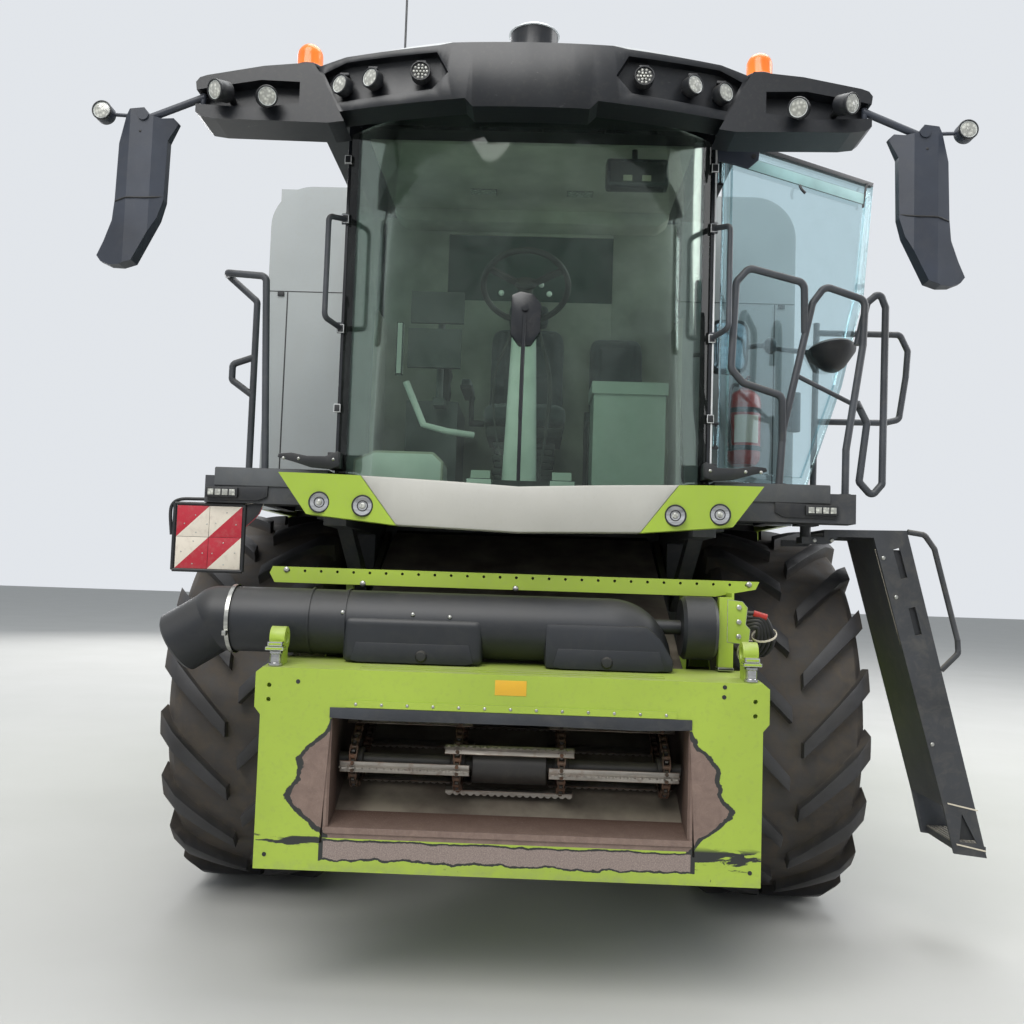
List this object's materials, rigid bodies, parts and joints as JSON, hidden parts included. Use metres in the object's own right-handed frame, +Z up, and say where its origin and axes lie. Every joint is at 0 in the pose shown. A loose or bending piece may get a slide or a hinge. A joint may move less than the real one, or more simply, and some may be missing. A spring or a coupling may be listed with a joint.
{
  "type": "combine harvester",
  "caption": "Large combine harvester without its header: lime feeder house with chain conveyor, glazed cab with open door, side ladder, folded unloading auger and steered rear axle.",
  "frame": {"origin": "on the ground, midway between the outermost left, right, front and rear points of the parked machine", "axes": "-Y is the machine's front, where the feeder house faces, +X its left side with the ladder, +Z up"},
  "size_m": [4.085, 8.78, 4.4],
  "materials": {
    "lime_paint": "gloss",
    "cream_paint": "gloss",
    "dark_paint": "satin",
    "dark_plastic": "satin",
    "bare_steel": "worn",
    "red_paint": "gloss",
    "board_face": "matte",
    "lamp_lens": "clear",
    "amber_lens": "gloss",
    "red_lens": "gloss",
    "tint_glass": "clear",
    "tyre_rubber": "dusty",
    "seat_cloth": "woven",
    "cast_block": "rough"
  },
  "bodies": {
    "machine": {"chassis_frame": "dark_paint", "front_axle": "dark_paint", "rear_axle": "dark_paint", "lift_base": "dark_paint", "separator_body": "dark_paint", "panel_braces": "dark_paint", "grain_tank": "cream_paint", "side_panels": "lime_paint", "engine": "cast_block", "engine_hood": "dark_paint", "rear_hood": "cream_paint", "straw_chopper": "dark_paint", "rear_lamps": "red_lens", "rear_ladder": "dark_paint", "deck_rails": "dark_paint", "tow_hitch": "dark_paint", "cab_body": "dark_paint", "cab_roof": "dark_plastic", "windscreen": "tint_glass", "cab_windows": "tint_glass", "driver_seat": "seat_cloth", "steering_column": "dark_plastic", "cab_console": "dark_plastic", "bumper_centre": "cream_paint", "bumper_ends": "lime_paint", "platforms": "dark_paint", "handrails": "dark_paint", "work_lamps": "lamp_lens", "beacons": "amber_lens", "mirrors": "dark_plastic", "warning_board": "board_face", "fire_extinguisher": "red_paint"},
    "wheel_front_left": {"tyre_front_left": "tyre_rubber", "rim_front_left": "lime_paint"},
    "wheel_front_right": {"tyre_front_right": "tyre_rubber", "rim_front_right": "lime_paint"},
    "wheel_rear_left": {"tyre_rear_left": "tyre_rubber", "rim_rear_left": "lime_paint"},
    "wheel_rear_right": {"tyre_rear_right": "tyre_rubber", "rim_rear_right": "lime_paint"},
    "knuckle_left": {"knuckle_left": "dark_paint"},
    "knuckle_right": {"knuckle_right": "dark_paint"},
    "tie_rod": {"tie_rod": "dark_paint"},
    "feeder": {"feeder_housing": "lime_paint", "feeder_frame": "lime_paint", "feed_conveyor": "bare_steel", "dust_duct": "dark_plastic", "feeder_guard": "lime_paint"},
    "lift_barrel_left": {"lift_barrel_left": "dark_paint"},
    "lift_rod_left": {"lift_rod_left": "bare_steel"},
    "lift_barrel_right": {"lift_barrel_right": "dark_paint"},
    "lift_rod_right": {"lift_rod_right": "bare_steel"},
    "auger": {"auger_tube": "cream_paint", "auger_boot": "tyre_rubber"},
    "tank_lid_left": {"tank_lid_left": "dark_paint"},
    "tank_lid_right": {"tank_lid_right": "dark_paint"},
    "ladder": {"ladder": "dark_paint"},
    "cab_door": {"cab_door": "dark_paint", "door_glass": "tint_glass"}
  },
  "joints": [
    {"name": "wheel_front_left_spin", "type": "hinge", "parent": "machine", "child": "wheel_front_left", "pos_m": [1.1725, -2.64, 0.98], "axis": [1, 0, 0], "continuous": true},
    {"name": "wheel_front_right_spin", "type": "hinge", "parent": "machine", "child": "wheel_front_right", "pos_m": [-1.4475, -2.64, 0.98], "axis": [1, 0, 0], "continuous": true},
    {"name": "steer_left", "type": "hinge", "parent": "machine", "child": "knuckle_left", "pos_m": [0.8025, 1.11, 0.73], "axis": [0, 0, 1], "range_deg": [-38, 38]},
    {"name": "steer_right", "type": "hinge", "parent": "machine", "child": "knuckle_right", "pos_m": [-1.0775, 1.11, 0.73], "axis": [0, 0, 1], "range_deg": [-38, 38]},
    {"name": "tie_rod_swing", "type": "hinge", "parent": "knuckle_left", "child": "tie_rod", "pos_m": [0.8025, 1.37, 0.664], "axis": [0, 0, 1], "range_deg": [-38, 38]},
    {"name": "wheel_rear_left_spin", "type": "hinge", "parent": "knuckle_left", "child": "wheel_rear_left", "pos_m": [1.1125, 1.11, 0.73], "axis": [1, 0, 0], "continuous": true},
    {"name": "wheel_rear_right_spin", "type": "hinge", "parent": "knuckle_right", "child": "wheel_rear_right", "pos_m": [-1.3875, 1.11, 0.73], "axis": [1, 0, 0], "continuous": true},
    {"name": "feeder_lift", "type": "hinge", "parent": "machine", "child": "feeder", "pos_m": [-0.1375, -2.89, 1.56], "axis": [-1, 0, 0], "range_deg": [-12, 9.5]},
    {"name": "lift_barrel_left_swing", "type": "hinge", "parent": "machine", "child": "lift_barrel_left", "pos_m": [0.4225, -2.72, 0.65], "axis": [-1, 0, 0], "range_deg": [-7.04, 5.78]},
    {"name": "lift_rod_left_slide", "type": "slide", "parent": "lift_barrel_left", "child": "lift_rod_left", "axis": [0, -0.9454, 0.326], "range_m": [-0.1796, 0.1443]},
    {"name": "lift_barrel_right_swing", "type": "hinge", "parent": "machine", "child": "lift_barrel_right", "pos_m": [-0.6975, -2.72, 0.65], "axis": [-1, 0, 0], "range_deg": [-7.04, 5.78]},
    {"name": "lift_rod_right_slide", "type": "slide", "parent": "lift_barrel_right", "child": "lift_rod_right", "axis": [0, -0.9454, 0.326], "range_m": [-0.1796, 0.1443]},
    {"name": "auger_swing", "type": "hinge", "parent": "machine", "child": "auger", "pos_m": [1.2325, -2.02, 3.4], "axis": [0, 0, -1], "range_deg": [0, 95]},
    {"name": "tank_lid_left_open", "type": "hinge", "parent": "machine", "child": "tank_lid_left", "pos_m": [1.0125, -1.24, 4.002], "axis": [0, 1, 0], "range_deg": [0, 100]},
    {"name": "tank_lid_right_open", "type": "hinge", "parent": "machine", "child": "tank_lid_right", "pos_m": [-1.6775, -1.24, 4.002], "axis": [0, -1, 0], "range_deg": [0, 100]},
    {"name": "ladder_swing", "type": "hinge", "parent": "machine", "child": "ladder", "pos_m": [1.2125, -3.54, 1.95], "axis": [0, 0, -1], "range_deg": [0, 90]},
    {"name": "cab_door_swing", "type": "hinge", "parent": "machine", "child": "cab_door", "pos_m": [0.7675, -3.625, 3], "axis": [0, 0, 1], "range_deg": [0, 59]}
  ],
  "couplings": [
    {"joint": "steer_right", "follows": "steer_left", "ratio": 1},
    {"joint": "tie_rod_swing", "follows": "steer_left", "ratio": -1},
    {"joint": "lift_barrel_left_swing", "follows": "feeder_lift", "ratio": 0.5032},
    {"joint": "lift_rod_left_slide", "follows": "feeder_lift", "m_per_rad": 0.80995},
    {"joint": "lift_barrel_right_swing", "follows": "feeder_lift", "ratio": 0.5032},
    {"joint": "lift_rod_right_slide", "follows": "feeder_lift", "m_per_rad": 0.80995}
  ]
}
